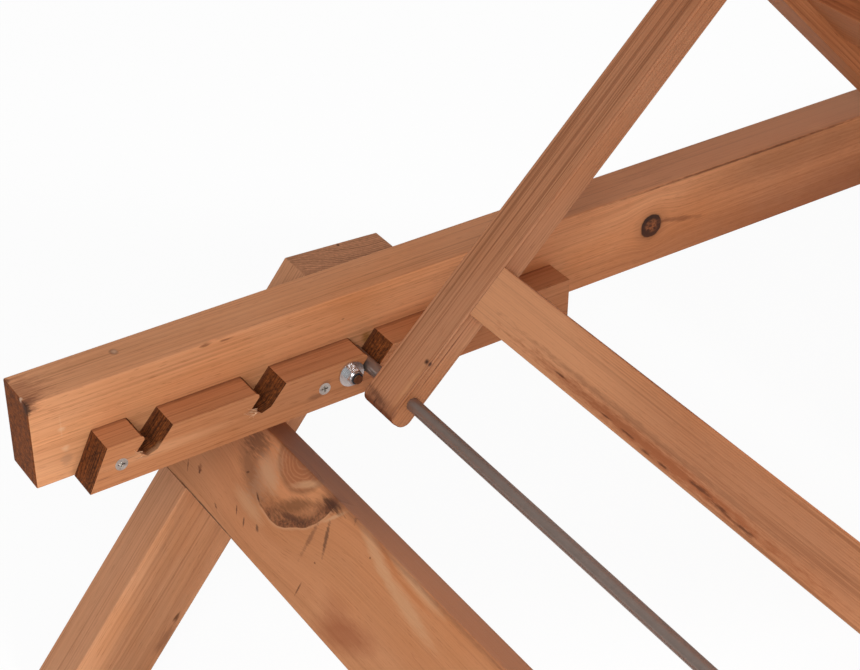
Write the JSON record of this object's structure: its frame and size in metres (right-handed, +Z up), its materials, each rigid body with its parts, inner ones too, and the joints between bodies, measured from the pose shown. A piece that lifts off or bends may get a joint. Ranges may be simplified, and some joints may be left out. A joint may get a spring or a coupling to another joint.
{
  "type": "sun lounger",
  "caption": "Slatted softwood sun lounger with raked legs and a hinged backrest, propped by a steel rod that lies in notched racks on the side rails.",
  "frame": {"origin": "on the ground under the middle of the side rails", "axes": "+X from the head end to the foot end, +Y across to the side that the picture shows, +Z up"},
  "size_m": [2.003, 0.859, 0.9755],
  "materials": {
    "frame_timber": "oiled, satin",
    "slat_timber": "oiled, satin",
    "rod_steel": "dark satin",
    "zinc_steel": "zinc plated"
  },
  "bodies": {
    "frame": {"beam_screws": "zinc_steel", "foot_cross_beam": "frame_timber", "foot_leg_bolts": "zinc_steel", "foot_leg_left": "frame_timber", "foot_leg_right": "frame_timber", "head_cross_beam": "frame_timber", "head_leg_bolts": "zinc_steel", "head_leg_left": "frame_timber", "head_leg_right": "frame_timber", "hinge_bolts": "zinc_steel", "hinge_nuts": "zinc_steel", "hinge_spacers": "zinc_steel", "hinge_washers": "zinc_steel", "left_notch_rack": "frame_timber", "left_side_rail": "frame_timber", "leg_nuts": "zinc_steel", "leg_washers": "zinc_steel", "rack_screws": "zinc_steel", "right_notch_rack": "frame_timber", "right_side_rail": "frame_timber", "seat_slat_1": "slat_timber", "seat_slat_10": "slat_timber", "seat_slat_2": "slat_timber", "seat_slat_3": "slat_timber", "seat_slat_4": "slat_timber", "seat_slat_5": "slat_timber", "seat_slat_6": "slat_timber", "seat_slat_7": "slat_timber", "seat_slat_8": "slat_timber", "seat_slat_9": "slat_timber", "seat_slat_screws": "zinc_steel"},
    "backrest": {"back_board_screws": "zinc_steel", "back_cross_board": "frame_timber", "back_member_left": "frame_timber", "back_member_right": "frame_timber", "back_slat_1": "slat_timber", "back_slat_2": "slat_timber", "back_slat_3": "slat_timber", "back_slat_4": "slat_timber", "back_slat_5": "slat_timber", "back_slat_6": "slat_timber", "back_slat_7": "slat_timber", "back_slat_8": "slat_timber", "back_slat_screws": "zinc_steel", "pivot_bolts": "zinc_steel", "pivot_nuts": "zinc_steel", "pivot_spacers": "zinc_steel", "pivot_washers": "zinc_steel"},
    "prop": {"crossbar_screws": "zinc_steel", "prop_arm_left": "frame_timber", "prop_arm_right": "frame_timber", "prop_crossbar": "frame_timber", "prop_rod": "rod_steel"}
  },
  "joints": [
    {"name": "backrest_recline", "type": "hinge", "parent": "frame", "child": "backrest", "pos_m": [-0.048, 0, 0.355], "axis": [0, 1, 0], "range_deg": [0, 35]},
    {"name": "prop_swing", "type": "hinge", "parent": "backrest", "child": "prop", "pos_m": [-0.36405, 0, 0.65535], "axis": [0, 1, 0], "range_deg": [-33.5, 0]}
  ],
  "couplings": [
    {"joint": "prop_swing", "follows": "backrest_recline", "ratio": -0.95}
  ]
}
